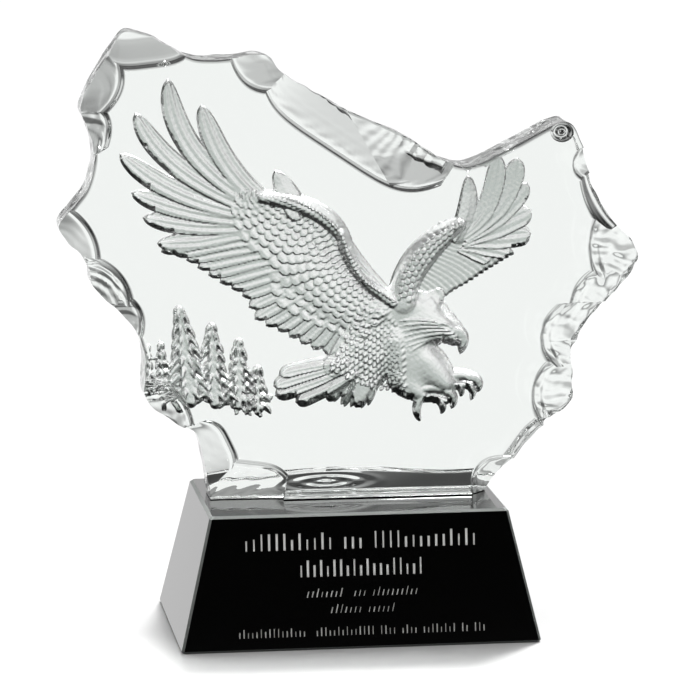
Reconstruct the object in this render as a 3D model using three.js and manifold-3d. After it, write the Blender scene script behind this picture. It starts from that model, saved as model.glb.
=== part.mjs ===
import * as THREE from "three";
import * as BufferGeometryUtils from "three/addons/utils/BufferGeometryUtils.js";
import Module from "manifold-3d";

// A moulded clear crystal plaque with the rough outline of a split rock. An eagle with raised wings
// and a stand of pines are hollowed into its back, and flakes are knapped off its front edge.
// It stands on a polished black base, a truncated pyramid with rows of shallow engraved strokes.
// Millimetres, +Z up, front towards -Y. The origin is the centre of the base's underside.

// Driving dimensions
const plaque_width = 212;          // left point to right point
const plaque_height = 170;         // foot to highest point
const plaque_thickness = 22;
const plaque_edge_round = 2;       // rounding of the front and back edges
const outline_step = 4.5;          // spacing of the corners along the outline
const eagle_span = 150;            // wing tip to wing tip
const eagle_depth = 8.5;           // deepest hollow, at the breast
const pine_height = 34;            // tallest pine
const pine_depth = 3.6;
const chip_depth = 12;             // how far the largest flake cuts into the front edge
const base_height = 48;
const base_top_width = 107.4;
const base_top_depth = 69;
const base_spread_width = 11.3;    // how far each end slopes outwards down to the floor
const base_spread_depth = 7.4;
const base_chamfer = 0.9;
const seat_gap = 0.3;              // film of clear glue under the plaque
const stroke_width = 0.7;
const stroke_depth = 0.4;
const short_stroke = 0.72;         // every other stroke, as a share of its row's height

// The free forms below keep their proportions as they were drawn, at these sizes
const drawn_width = 212;
const drawn_height = 170;
const drawn_span = 150;
const drawn_pine = 34;

const wasm = await Module();
wasm.setup();

/** A closed three.js geometry as a solid, with its shared corners merged. */
function solidOf(geometry) {
  geometry.deleteAttribute("normal");
  geometry.deleteAttribute("uv");
  const merged = BufferGeometryUtils.mergeVertices(geometry, 1e-4);
  return new wasm.Manifold(new wasm.Mesh({
    numProp: 3,
    vertProperties: new Float32Array(merged.attributes.position.array),
    triVerts: new Uint32Array(merged.index.array),
  }));
}

/** A solid as a three.js geometry. */
function geometryOf(solid) {
  const mesh = solid.getMesh();
  const geometry = new THREE.BufferGeometry();
  geometry.setAttribute("position", new THREE.BufferAttribute(mesh.vertProperties, 3));
  geometry.setIndex(new THREE.BufferAttribute(mesh.triVerts, 1));
  return geometry;
}

/** A closed body through equal rings of points, the first and last capped by a fan. The rings run
 *  clockwise when seen from the last one. */
function loft(rings) {
  const sides = rings[0].length;
  const positions = rings.flat().flatMap((p) => [p.x, p.y, p.z]);
  const triangles = [];
  for (let i = 0; i + 1 < rings.length; i++) {
    for (let j = 0; j < sides; j++) {
      const a = i * sides + j;
      const b = i * sides + ((j + 1) % sides);
      triangles.push(a, b + sides, b, a, a + sides, b + sides);
    }
  }
  const last = (rings.length - 1) * sides;
  for (let j = 1; j + 1 < sides; j++) {
    triangles.push(0, j, j + 1, last, last + j + 1, last + j);
  }
  const geometry = new THREE.BufferGeometry();
  geometry.setAttribute("position", new THREE.Float32BufferAttribute(positions, 3));
  geometry.setIndex(triangles);
  return solidOf(geometry);
}

/** Takes every cutter out of a body. */
const carve = (body, cutters) => body.subtract(wasm.Manifold.union(cutters));

// Places on the plaque

const foot_z = base_height + seat_gap;
const front_y = -plaque_thickness / 2;
const back_y = plaque_thickness / 2;
const clear_of_face = 1;           // cutters reach this far out of the face that they cut

const eagle_centre = [-6, 84];
const eagle_unit = eagle_span / drawn_span;
const pine_unit = pine_height / drawn_pine;

/** A drawn point of the outline, [x, height above the foot], at the plaque's own size. */
function onPlaque([x, z]) {
  return new THREE.Vector2((x * plaque_width) / drawn_width, (z * plaque_height) / drawn_height);
}

/** A drawn point of the eagle, at the eagle's own size about its centre on the plaque. */
function onEagle([x, z]) {
  const offset = new THREE.Vector2(x - eagle_centre[0], z - eagle_centre[1]).multiplyScalar(eagle_unit);
  return onPlaque(eagle_centre).add(offset);
}

// The slab

const left_side = [
  [-50.5, 0], [-52.5, 12.5], [-56, 24.5], [-61.5, 27.5], [-70.5, 33.5], [-74, 38.5], [-74.3, 54],
  [-77.5, 63], [-92.5, 79], [-94, 86.5], [-103.5, 98], [-104, 101.5], [-99, 108], [-94.5, 114],
  [-91.5, 126], [-93.5, 135.5], [-96, 142], [-93, 150], [-84.5, 164], [-80.5, 169],
];
const top_side = [
  [-78.5, 169.8], [-70, 167.5], [-60, 162], [-54.5, 160], [-42.5, 160], [-29, 160.5], [-23, 154],
  [-13.5, 148], [2.5, 139], [21.5, 130.5], [36, 121.5], [43.5, 120.3], [60, 127.5], [77.5, 135.8],
];
const right_side = [
  [80.5, 135], [84, 129], [87.5, 118.5], [92.5, 107], [97.5, 99], [106, 90], [108, 84.5], [107, 81.5],
  [100, 72.5], [93, 65.5], [86, 56.5], [83, 51.5], [83.5, 44], [83.5, 33.5], [81, 29.5], [74.5, 26.5],
  [67.5, 21.5], [61, 13.5], [55.5, 6], [51, 0],
];

/** The rock-like slab: the smoothed outline extruded, with both its edges rounded. */
function slab() {
  const points = [...left_side, ...top_side, ...right_side].map(onPlaque);
  const corners = points.map((p) => new THREE.Vector3(p.x, p.y, 0));
  const curve = new THREE.CatmullRomCurve3(corners, false, "centripetal");
  const outline = curve.getSpacedPoints(Math.round(curve.getLength() / outline_step));
  const shape = new THREE.Shape(outline.map((p) => new THREE.Vector2(p.x, p.y)));
  const geometry = new THREE.ExtrudeGeometry(shape, {
    depth: plaque_thickness - 2 * plaque_edge_round,
    bevelThickness: plaque_edge_round,
    bevelSize: plaque_edge_round,
    bevelOffset: -plaque_edge_round,
    bevelSegments: 2,
  });
  geometry.rotateX(Math.PI / 2);
  geometry.translate(0, back_y - plaque_edge_round, foot_z);
  return solidOf(geometry);
}

// Flakes off the front edge. Each is a flat cut that starts on the front face along a curved line
// and falls away towards the edge: [x, z] the line's middle, facing the way that it falls in
// degrees from +X, its length, how far its ends sag outwards, its slope, and the line's roundness.

const flakes = [
  { at: [-71.5, 157], facing: 96, length: 31, sag: 4, slope: 0.95, round: 4 },
  { at: [-80, 152], facing: 165, length: 26, sag: 5, slope: 0.8, round: 2 },
  { at: [-85, 141], facing: 205, length: 22, sag: 4, slope: 0.7, round: 2 },
  { at: [-85.5, 96], facing: 211, length: 44, sag: 5, slope: 0.7, round: 3 },
  { at: [-75, 71], facing: 205, length: 18, sag: 4, slope: 0.9, round: 2 },
  { at: [-36, 149], facing: 60, length: 22, sag: 5, slope: 0.8, round: 2 },
  { at: [-6.5, 125.3], facing: 56, length: 68, sag: 6, slope: 0.62, round: 5 },
  { at: [1, 136], facing: 58, length: 56, sag: 6, slope: 0.9, round: 3 },
  { at: [27, 114.8], facing: 119, length: 20, sag: 3, slope: 0.8, round: 2 },
  { at: [80.5, 118.5], facing: 15, length: 11, sag: 3, slope: 0.8, round: 2 },
  { at: [87, 103], facing: 28, length: 12, sag: 3, slope: 1, round: 2 },
  { at: [88, 89], facing: 8, length: 16, sag: 3, slope: 0.55, round: 2 },
  { at: [83, 72], facing: 338, length: 17, sag: 3, slope: 0.7, round: 2 },
  { at: [71, 57], facing: 2, length: 20, sag: 5, slope: 0.6, round: 2 },
  { at: [67.5, 38], facing: 353, length: 24, sag: 5, slope: 0.55, round: 2 },
  { at: [46.5, 11], facing: 318, length: 18, sag: 5, slope: 0.9, round: 2 },
  { at: [-43, 22], facing: 205, length: 20, sag: 3, slope: 0.45, round: 4 },
  { at: [-36, 15], facing: 262, length: 24, sag: 2, slope: 0.3, round: 4 },
];

/** The cutter of one flake, a wedge along its line, no deeper than chip_depth. */
function flake({ at, facing, length, sag, slope, round }) {
  const middle = onPlaque(at);
  const out = new THREE.Vector2(1, 0).rotateAround(new THREE.Vector2(), THREE.MathUtils.degToRad(facing));
  const along = new THREE.Vector2(-out.y, out.x);
  const stations = 8;
  const rings = [];
  for (let i = 0; i <= stations; i++) {
    const share = (2 * i) / stations - 1;
    const start = sag * Math.abs(share) ** round;
    const deep = start + chip_depth / slope;
    const corners = [
      [start - clear_of_face / slope, -clear_of_face], [deep, chip_depth],
      [deep + plaque_thickness, chip_depth], [deep + plaque_thickness, -clear_of_face],
    ];
    const station = middle.clone().addScaledVector(along, (share * length) / 2);
    rings.push(corners.map(([v, depth]) => new THREE.Vector3(
      station.x + out.x * v, front_y + depth, foot_z + station.y + out.y * v,
    )));
  }
  return loft(rings);
}

/** A lens-shaped scoop in the front or back face. */
function scoop({ at, face, width, height, depth }) {
  const middle = onPlaque(at);
  const geometry = new THREE.SphereGeometry(0.5, 16, 8);
  geometry.scale(width, 2 * depth, height);
  geometry.translate(middle.x, face, foot_z + middle.y);
  return solidOf(geometry);
}

const scoops = [
  { at: [76.8, 132], face: front_y, width: 7.5, height: 6, depth: 2.4 },
  { at: [-5.5, 4.2], face: back_y, width: 33, height: 6.5, depth: 2.2 },
];

// The relief. A blade is one feather, limb or bough: a curved tongue from its root over a bend to
// its tip, half as wide as `half`, hollowed into the back to `depth` at its ridge.

const tongue = [
  { t: 0, width: 0.62, depth: 0.8 },
  { t: 0.3, width: 0.9, depth: 1 },
  { t: 0.65, width: 1, depth: 0.95 },
  { t: 0.9, width: 0.72, depth: 0.8 },
  { t: 1, width: 0.16, depth: 0.45 },
];

function blade(root, bend, tip, half, depth) {
  const curve = new THREE.QuadraticBezierCurve(root, bend, tip);
  const rings = tongue.map(({ t, width, depth: share }) => {
    const p = curve.getPoint(t);
    const direction = curve.getTangent(t);
    const side = new THREE.Vector2(-direction.y, direction.x).multiplyScalar(half * width);
    const section = [
      [-1, -clear_of_face], [-1, 0.3 * depth * share], [0.1, depth * share], [1, 0.55 * depth * share],
      [1, -clear_of_face],
    ];
    return section.map(([s, d]) => new THREE.Vector3(p.x + side.x * s, back_y - d, foot_z + p.y + side.y * s));
  });
  return loft(rings);
}

/** Point at `share` of the way along a smooth line through the given points. */
function pointAlong(line, share) {
  return new THREE.SplineCurve(line).getPointAt(share);
}

/** A row of feathers side by side, from a line of roots to a line of tips. */
function fan({ roots, tips, count, half, share, bulge }) {
  const feathers = [];
  for (let i = 0; i < count; i++) {
    const root = pointAlong(roots.map(onEagle), i / (count - 1));
    const tip = pointAlong(tips.map(onEagle), i / (count - 1));
    const across = tip.clone().sub(root);
    const bend = root.clone().lerp(tip, 0.5).add(new THREE.Vector2(-across.y, across.x).multiplyScalar(bulge));
    feathers.push(blade(root, bend, tip, half * eagle_unit, eagle_depth * share));
  }
  return feathers;
}

/** One blade of the eagle, given by its points as drawn. */
function limb([root, bend, tip, half, share]) {
  return blade(onEagle(root), onEagle(bend), onEagle(tip), half * eagle_unit, eagle_depth * share);
}

// The far-stretched left wing: seven spread primaries, then their lengths fall to the inner wing
const left_primaries = [
  [[-30, 108], [-46, 119.5], [-52, 142], 3.6, 0.3],
  [[-31.5, 106.5], [-62, 129.5], [-66, 156.5], 3.5, 0.26],
  [[-33.5, 105], [-67, 118.5], [-75.5, 139.5], 3.5, 0.3],
  [[-35, 103], [-65, 109], [-81, 125], 3.5, 0.26],
  [[-35.5, 101], [-58.5, 103], [-77, 111], 3.5, 0.3],
  [[-36, 99], [-54.5, 97.5], [-73, 102], 3.5, 0.26],
  [[-35.5, 96.5], [-51, 92.5], [-68, 92.5], 3.2, 0.3],
];
const right_primaries = [
  [[43.5, 93.5], [55, 102], [56, 123], 3, 0.24],
  [[44.5, 92.5], [61.5, 104.5], [63, 121], 3, 0.3],
  [[45, 92], [59, 100.5], [66.5, 112], 3, 0.24],
  [[45, 91], [59, 97], [68, 102], 3.2, 0.3],
  [[44.5, 90.5], [59, 92], [68, 93.5], 3.2, 0.24],
  [[43.5, 89], [54, 89], [60.5, 87], 2.6, 0.3],
  [[42, 88], [49, 87], [53, 84], 2.2, 0.24],
];
const tail_feathers = [
  [[0, 48], [-13, 47], [-24, 43.5], 3, 0.4],
  [[0, 47], [-14.5, 43.5], [-26, 39.5], 3, 0.46],
  [[0, 45.5], [-13.5, 39.5], [-25.5, 36], 3, 0.42],
  [[3, 43.5], [-9, 36.5], [-18, 33.2], 3, 0.36],
];
const arms = [
  [[18, 69.5], [2.5, 81.5], [-2, 95.5], 3.4, 0.62],
  [[0, 92.5], [-7, 107.5], [-30, 109], 3.6, 0.52],
  [[21, 71], [22, 85], [41.5, 97.5], 5, 0.62],
  [[-19, 107.5], [-22, 113], [-25.5, 119.5], 2.4, 0.3],
  [[43.5, 94.5], [46, 104.5], [45.5, 115], 3.2, 0.36],
];
const wing_webs = [
  [[16, 65], [-5.5, 82], [-33, 99], 13.5, 0.34],
  [[30, 69], [35, 84], [46, 92], 5.5, 0.34],
];
const body_parts = [
  [[-5.5, 46], [12, 54], [30, 61], 11, 0.8],
  [[14.5, 64], [25.5, 68.5], [36, 62], 7, 0.9],
  [[27.5, 62], [36, 64.5], [43, 58.5], 4.8, 1],
  [[40.5, 60], [45.8, 57.5], [43, 50], 2, 0.8],
  [[18.5, 53.5], [29.5, 46], [39, 37.5], 8, 0.9],
  [[20.5, 48], [20.5, 40.5], [27.5, 33], 6, 0.7],
  [[11, 50], [7.5, 41], [5, 31], 5, 0.6],
  [[2, 45], [-2, 39.5], [-5.5, 34], 3.5, 0.5],
];
const talons = [
  [[35, 38], [40.5, 41.5], [48.5, 38.5], 2.8, 0.8],
  [[46, 40], [51.5, 37.5], [50, 31.5], 1.8, 0.7],
  [[41.5, 38.5], [45.5, 35.5], [47.5, 30.5], 1.8, 0.6],
  [[31.5, 36], [38, 36], [42, 30], 2.6, 0.8],
  [[35, 33], [39, 30], [39.5, 26], 1.8, 0.7],
  [[29.5, 34], [26, 30], [29, 24], 1.8, 0.6],
];

// Rows of feathers: the secondaries of both wings and two rows of the left wing's coverts
const feather_rows = [
  {
    roots: [[-36, 96], [-27.5, 87.5], [-20.5, 79.5], [-13, 71.5], [-5.5, 67], [0, 62]],
    tips: [[-62, 88.5], [-48, 79.5], [-36, 71], [-29.5, 60.5], [-17.5, 57], [-6.5, 51]],
    count: 12, half: 3.1, share: 0.28, bulge: -0.05,
  },
  {
    roots: [[40.5, 87.5], [32, 80], [29, 74]],
    tips: [[51.5, 82.5], [44, 78], [34, 71.5]],
    count: 7, half: 2, share: 0.26, bulge: 0.05,
  },
  {
    roots: [[-22, 101], [-4, 76], [8, 62]],
    tips: [[-39, 99], [-22, 70], [-1, 56]],
    count: 9, half: 3.4, share: 0.44, bulge: 0.05,
  },
  {
    roots: [[-14, 102], [2, 80], [13, 65]],
    tips: [[-28, 97], [-12, 72], [6, 57]],
    count: 8, half: 3, share: 0.54, bulge: 0.05,
  },
];

/** The whole eagle as cutters. */
function eagle() {
  const wings = [...left_primaries, ...right_primaries, ...arms, ...wing_webs];
  return [...wings, ...tail_feathers, ...body_parts, ...talons].map(limb).concat(feather_rows.flatMap(fan));
}

// Pines and rocks, drawn on the plaque: [foot, tip] of each pine with the half width of its boughs

const pines = [
  { foot: [-56.5, 35.5], top: [-60.5, 69.5], half: 6 },
  { foot: [-47.5, 34.5], top: [-49, 63], half: 5 },
  { foot: [-39, 33.5], top: [-39, 57], half: 4.5 },
  { foot: [-32, 31], top: [-32, 46.5], half: 3.4 },
  { foot: [-71, 41], top: [-72, 55.5], half: 2 },
  { foot: [-66, 41], top: [-67.5, 56.5], half: 2.6 },
];
const rocks = [
  { foot: [-69, 44], top: [-60, 35], half: 6 },
  { foot: [-58, 38], top: [-46, 33], half: 5.5 },
  { foot: [-47, 36], top: [-33, 31], half: 4.5 },
];

/** A blade with no bend. */
const straightBlade = (from, to, half, depth) => blade(from, from.clone().lerp(to, 0.5), to, half, depth);

/** One pine: overlapping tiers of boughs, narrower and shallower towards the tip. */
function pine({ foot, top, half }) {
  const root = onPlaque(foot);
  const tip = root.clone().lerp(onPlaque(top), pine_unit);
  const tiers = 4;
  const tier_length = 0.45;
  const boughs = [];
  for (let i = 0; i < tiers; i++) {
    const low = i / tiers;
    const from = root.clone().lerp(tip, low);
    const to = root.clone().lerp(tip, Math.min(1, low + tier_length));
    boughs.push(straightBlade(from, to, half * pine_unit * (1 - 0.75 * low), pine_depth * (1 - 0.35 * low)));
  }
  return boughs;
}

const rock = ({ foot, top, half }) => straightBlade(onPlaque(foot), onPlaque(top), half, pine_depth);

// The base

const base_bottom_width = base_top_width + 2 * base_spread_width;
const base_bottom_depth = base_top_depth + 2 * base_spread_depth;

/** A level of the base: a rectangle with its corners cut, `inset` from the full section there. */
function baseLevel(z, inset) {
  const share = z / base_height;
  const x = base_bottom_width / 2 - base_spread_width * share - inset;
  const y = base_bottom_depth / 2 - base_spread_depth * share - inset;
  const c = base_chamfer;
  const corners = [
    [x - c, -y], [c - x, -y], [-x, c - y], [-x, y - c], [c - x, y], [x - c, y], [x, y - c], [x, c - y],
  ];
  return corners.map(([px, py]) => new THREE.Vector3(px, py, z));
}

// Engraved rows, from the top: centre height as a share of the base's height, length, stroke height
// and number of strokes. A gap in a row leaves out a stroke.
const engraved_rows = [
  { at: 0.8, length: 80, tall: 5.6, strokes: 16, gaps: [6, 8] },
  { at: 0.6, length: 43, tall: 5.6, strokes: 9, gaps: [] },
  { at: 0.42, length: 39, tall: 3.4, strokes: 11, gaps: [4, 7] },
  { at: 0.3, length: 22, tall: 3.4, strokes: 7, gaps: [3] },
  { at: 0.13, length: 86, tall: 3.4, strokes: 24, gaps: [6, 13, 17, 20] },
];

/** The cutters of one engraved row, upright strokes sunk into the sloping front. */
function engravedRow({ at, length, tall, strokes, gaps }) {
  const z = at * base_height;
  const slope = Math.atan2(base_spread_depth, base_height);
  const y = -(base_bottom_depth / 2 - base_spread_depth * at);
  const parts = [];
  for (let i = 0; i < strokes; i++) {
    if (gaps.includes(i)) continue;
    const geometry = new THREE.BoxGeometry(stroke_width, 2 * stroke_depth, tall * (i % 2 ? short_stroke : 1));
    geometry.rotateX(-slope);
    geometry.translate((i / (strokes - 1) - 0.5) * length, y, z);
    parts.push(solidOf(geometry));
  }
  return parts;
}

function base() {
  const body = loft([
    baseLevel(0, base_chamfer),
    baseLevel(base_chamfer, 0),
    baseLevel(base_height - base_chamfer, 0),
    baseLevel(base_height, base_chamfer),
  ]);
  return carve(body, engraved_rows.flatMap(engravedRow));
}

function plaque() {
  return carve(slab(), [
    ...flakes.map(flake),
    ...scoops.map(scoop),
    ...eagle(),
    ...pines.flatMap(pine),
    ...rocks.map(rock),
  ]);
}

const clear_crystal = new THREE.MeshStandardMaterial({
  color: 0xe9efec, roughness: 0.03, metalness: 0, transparent: true, opacity: 0.45,
});
const black_glass = new THREE.MeshStandardMaterial({ color: 0x050506, roughness: 0.05, metalness: 0 });

const sculpture = new THREE.Group();

const plaque_mesh = new THREE.Mesh(geometryOf(plaque()), clear_crystal);
plaque_mesh.name = "crystal_plaque";
sculpture.add(plaque_mesh);

const base_mesh = new THREE.Mesh(geometryOf(base()), black_glass);
base_mesh.name = "black_base";
sculpture.add(base_mesh);

export default sculpture;
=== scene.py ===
"""A moulded crystal plaque with an eagle and pines hollowed into its back, on a black glass base.

The plaque is one closed mesh: a slab with a rock-like outline, out of which flakes and the relief
are cut. Lengths are millimetres until a mesh is made, where they become metres.
"""

import math

import bmesh
import bpy
import numpy as np
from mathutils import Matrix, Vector


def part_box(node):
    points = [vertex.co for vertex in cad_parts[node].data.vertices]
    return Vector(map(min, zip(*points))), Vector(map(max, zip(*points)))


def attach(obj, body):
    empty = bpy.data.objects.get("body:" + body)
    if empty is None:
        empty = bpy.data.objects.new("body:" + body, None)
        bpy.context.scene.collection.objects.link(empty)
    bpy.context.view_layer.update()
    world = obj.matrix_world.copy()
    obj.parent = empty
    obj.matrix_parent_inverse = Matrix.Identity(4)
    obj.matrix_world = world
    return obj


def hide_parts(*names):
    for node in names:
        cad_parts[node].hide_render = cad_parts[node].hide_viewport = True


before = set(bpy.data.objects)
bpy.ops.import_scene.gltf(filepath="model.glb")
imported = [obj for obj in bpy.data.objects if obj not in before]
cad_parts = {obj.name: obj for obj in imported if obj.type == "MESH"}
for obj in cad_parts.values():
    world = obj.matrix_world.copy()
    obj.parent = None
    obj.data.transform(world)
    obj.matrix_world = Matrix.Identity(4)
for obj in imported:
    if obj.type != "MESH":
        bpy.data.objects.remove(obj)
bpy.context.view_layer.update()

MM = 0.001

# Sizes and places read from the frame
plaque_low, plaque_high = (np.array(corner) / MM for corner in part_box("crystal_plaque"))
BASE_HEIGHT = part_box("black_base")[1][2] / MM
FOOT_Z = plaque_low[2]
FRONT_Y = plaque_low[1]
BACK_Y = plaque_high[1]
THICKNESS = BACK_Y - FRONT_Y

# The crystal's own sizes, and the steps of its meshes
EDGE_ROUND = 2.0
CHIP_DEPTH = 12.0
PINE_DEPTH = 3.6
OUTLINE_STEP = 1.1
RELIEF_STEP = 0.4

# The base's top, how far each side spreads from it down to the foot, and its details
BASE_TOP = np.array([107.4, 69.0])
BASE_SPREAD = np.array([11.3, 7.4])
BASE_CHAMFER = 0.9
STROKE_DEPTH = 0.35


# Mesh helpers


def new_object(name, vertices, faces):
    """An object at the origin from an (n, 3) array in millimetres and a list of faces."""
    mesh = bpy.data.meshes.new(name)
    mesh.from_pydata(np.asarray(vertices, float) * MM, [], faces)
    mesh.update()
    made = bpy.data.objects.new(name, mesh)
    bpy.context.scene.collection.objects.link(made)
    return made


def grid_faces(rows, columns, wrap=False):
    """Quads between neighbouring points of a grid stored row by row; wrap joins the last column."""
    across = columns if wrap else columns - 1
    i, j = np.meshgrid(np.arange(rows - 1), np.arange(across), indexing="ij")
    a = (i * columns + j).ravel()
    b = (i * columns + (j + 1) % columns).ravel()
    return np.stack([a, b, b + columns, a + columns], 1)


def height_solid(name, surface, lid_y):
    """A cutter: the sheet `surface` (rows, columns, 3), walls from its rim to the plane y = lid_y
    and a flat lid there."""
    rows, columns = surface.shape[:2]
    index = np.arange(rows * columns).reshape(rows, columns)
    rim = np.concatenate([index[0, :-1], index[:-1, -1], index[-1, :0:-1], index[:0:-1, 0]])
    flat = surface.reshape(-1, 3)
    lid = flat[rim].copy()
    lid[:, 1] = lid_y
    first = len(flat)
    edge = first + np.arange(len(rim))
    walls = np.stack([np.roll(rim, -1), rim, edge, np.roll(edge, -1)], 1)
    faces = np.vstack([grid_faces(rows, columns), walls]).tolist() + [edge[::-1].tolist()]
    made = new_object(name, np.vstack([flat, lid]), faces)
    outwards(made)
    return made


def outwards(made):
    """Turns all faces of a closed mesh outwards."""
    shape = bmesh.new()
    shape.from_mesh(made.data)
    bmesh.ops.recalc_face_normals(shape, faces=shape.faces)
    shape.to_mesh(made.data)
    shape.free()


def cut(body, cutters):
    """Takes each cutter out of the body, and gives the new faces the cutter's material."""
    for cutter in cutters:
        modifier = body.modifiers.new("cut", "BOOLEAN")
        modifier.operation = "DIFFERENCE"
        modifier.solver = "MANIFOLD"
        modifier.material_mode = "TRANSFER"
        modifier.object = cutter
    depsgraph = bpy.context.evaluated_depsgraph_get()
    mesh = bpy.data.meshes.new_from_object(body.evaluated_get(depsgraph))
    body.modifiers.clear()
    body.data = mesh
    for cutter in cutters:
        bpy.data.objects.remove(cutter)


def smooth_line(points, step):
    """Points every `step` along a centripetal Catmull-Rom curve through the given points: each
    stretch blends its two neighbours' tangents, with knots spaced by the root of the chord."""
    p = np.asarray(points, float)
    p = np.vstack([2 * p[0] - p[1], p, 2 * p[-1] - p[-2]])
    dense = []
    for i in range(1, len(p) - 2):
        p0, p1, p2, p3 = p[i - 1:i + 3]
        t0 = 0.0
        t1 = t0 + math.sqrt(np.linalg.norm(p1 - p0))
        t2 = t1 + math.sqrt(np.linalg.norm(p2 - p1))
        t3 = t2 + math.sqrt(np.linalg.norm(p3 - p2))
        t = np.linspace(t1, t2, 24, endpoint=False)[:, None]
        a1 = (t1 - t) / (t1 - t0) * p0 + (t - t0) / (t1 - t0) * p1
        a2 = (t2 - t) / (t2 - t1) * p1 + (t - t1) / (t2 - t1) * p2
        a3 = (t3 - t) / (t3 - t2) * p2 + (t - t2) / (t3 - t2) * p3
        b1 = (t2 - t) / (t2 - t0) * a1 + (t - t0) / (t2 - t0) * a2
        b2 = (t3 - t) / (t3 - t1) * a2 + (t - t1) / (t3 - t1) * a3
        dense.append((t2 - t) / (t2 - t1) * b1 + (t - t1) / (t2 - t1) * b2)
    dense = np.vstack(dense + [p[-2:-1]])
    run = np.concatenate([[0], np.cumsum(np.linalg.norm(np.diff(dense, axis=0), axis=1))])
    count = max(2, round(run[-1] / step) + 1)
    at = np.linspace(0, run[-1], count)
    return np.stack([np.interp(at, run, dense[:, k]) for k in range(dense.shape[1])], 1)


def waves(x, z, length, seed, count=7):
    """Smooth noise between about -1 and 1: a sum of sine waves about `length` long, in directions
    and phases drawn from the seed."""
    draw = np.random.default_rng(seed)
    total = np.zeros(np.broadcast(x, z).shape)
    for _ in range(count):
        turn = draw.uniform(0, 2 * math.pi)
        size = length * draw.uniform(0.7, 1.5)
        phase = draw.uniform(0, 2 * math.pi)
        total += np.sin(2 * math.pi * (x * math.cos(turn) + z * math.sin(turn)) / size + phase)
    return total / math.sqrt(count) / 1.4


# The slab, whose outline is drawn as [x, height above the foot] in millimetres, as all free forms are

LEFT_SIDE = [
    [-50.5, 0], [-52.5, 12.5], [-56, 24.5], [-61.5, 27.5], [-70.5, 33.5], [-74, 38.5], [-74.3, 54],
    [-77.5, 63], [-92.5, 79], [-94, 86.5], [-103.5, 98], [-104, 101.5], [-99, 108], [-94.5, 114],
    [-91.5, 126], [-93.5, 135.5], [-96, 142], [-93, 150], [-84.5, 164], [-80.5, 169],
]
TOP_SIDE = [
    [-78.5, 169.8], [-70, 167.5], [-60, 162], [-54.5, 160], [-42.5, 160], [-29, 160.5], [-23, 154],
    [-13.5, 148], [2.5, 139], [21.5, 130.5], [36, 121.5], [43.5, 120.3], [60, 127.5], [77.5, 135.8],
]
RIGHT_SIDE = [
    [80.5, 135], [84, 129], [87.5, 118.5], [92.5, 107], [97.5, 99], [106, 90], [108, 84.5],
    [107, 81.5], [100, 72.5], [93, 65.5], [86, 56.5], [83, 51.5], [83.5, 44], [83.5, 33.5],
    [81, 29.5], [74.5, 26.5], [67.5, 21.5], [61, 13.5], [55.5, 6], [51, 0],
]


def slab():
    """The outline carried through the thickness. Both rims are quarter rounds, and the wall
    between them waves a little, as a moulded rim does."""
    outline = smooth_line(LEFT_SIDE + TOP_SIDE + RIGHT_SIDE, OUTLINE_STEP)
    foot = np.linspace(outline[-1], outline[0], 40)[1:-1]
    ring = np.vstack([outline, foot])
    ahead = np.roll(ring, -1, 0) - np.roll(ring, 1, 0)
    inward = np.stack([ahead[:, 1], -ahead[:, 0]], 1)
    for _ in range(2):
        inward = np.roll(inward, 1, 0) + 2 * inward + np.roll(inward, -1, 0)
    inward /= np.linalg.norm(inward, axis=1)[:, None]
    run = np.arange(len(ring)) * OUTLINE_STEP
    rounds = [(EDGE_ROUND * (1 - math.sin(a)), EDGE_ROUND * (1 - math.cos(a)))
              for a in np.linspace(0, math.pi / 2, 6)]
    levels = [(FRONT_Y + deep, inset) for inset, deep in rounds]
    levels += [(y, 0) for y in np.linspace(FRONT_Y + EDGE_ROUND, BACK_Y - EDGE_ROUND, 9)[1:-1]]
    levels += [(BACK_Y - deep, inset) for inset, deep in reversed(rounds)]
    rings = []
    on_foot = (ring[:, 1] < 0.5)
    for y, inset in levels:
        wall = max(0.0, 1 - ((2 * y / THICKNESS) ** 4))
        shift = inset + 0.3 * wall * (1 + waves(run, y * np.ones(len(run)), 9, 3)) * ~on_foot
        flat = ring + inward * shift[:, None]
        rings.append(np.stack([flat[:, 0], np.full(len(flat), y), flat[:, 1] + FOOT_Z], 1))
    count = len(ring)
    faces = grid_faces(len(rings), count, wrap=True).tolist()
    faces.append(list(range(count)))
    last = (len(rings) - 1) * count
    faces.append([last + k for k in reversed(range(count))])
    made = new_object("crystal_slab", np.vstack(rings), faces)
    outwards(made)
    return made


# Flakes knapped off the front edge: a curved line on the front face, its middle `at`, from which
# a facet falls away in the direction `facing` (degrees from +X). `rough` is the facet's ripple.
# The shells of the right edge share a tall lip that is lower at one end.

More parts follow.
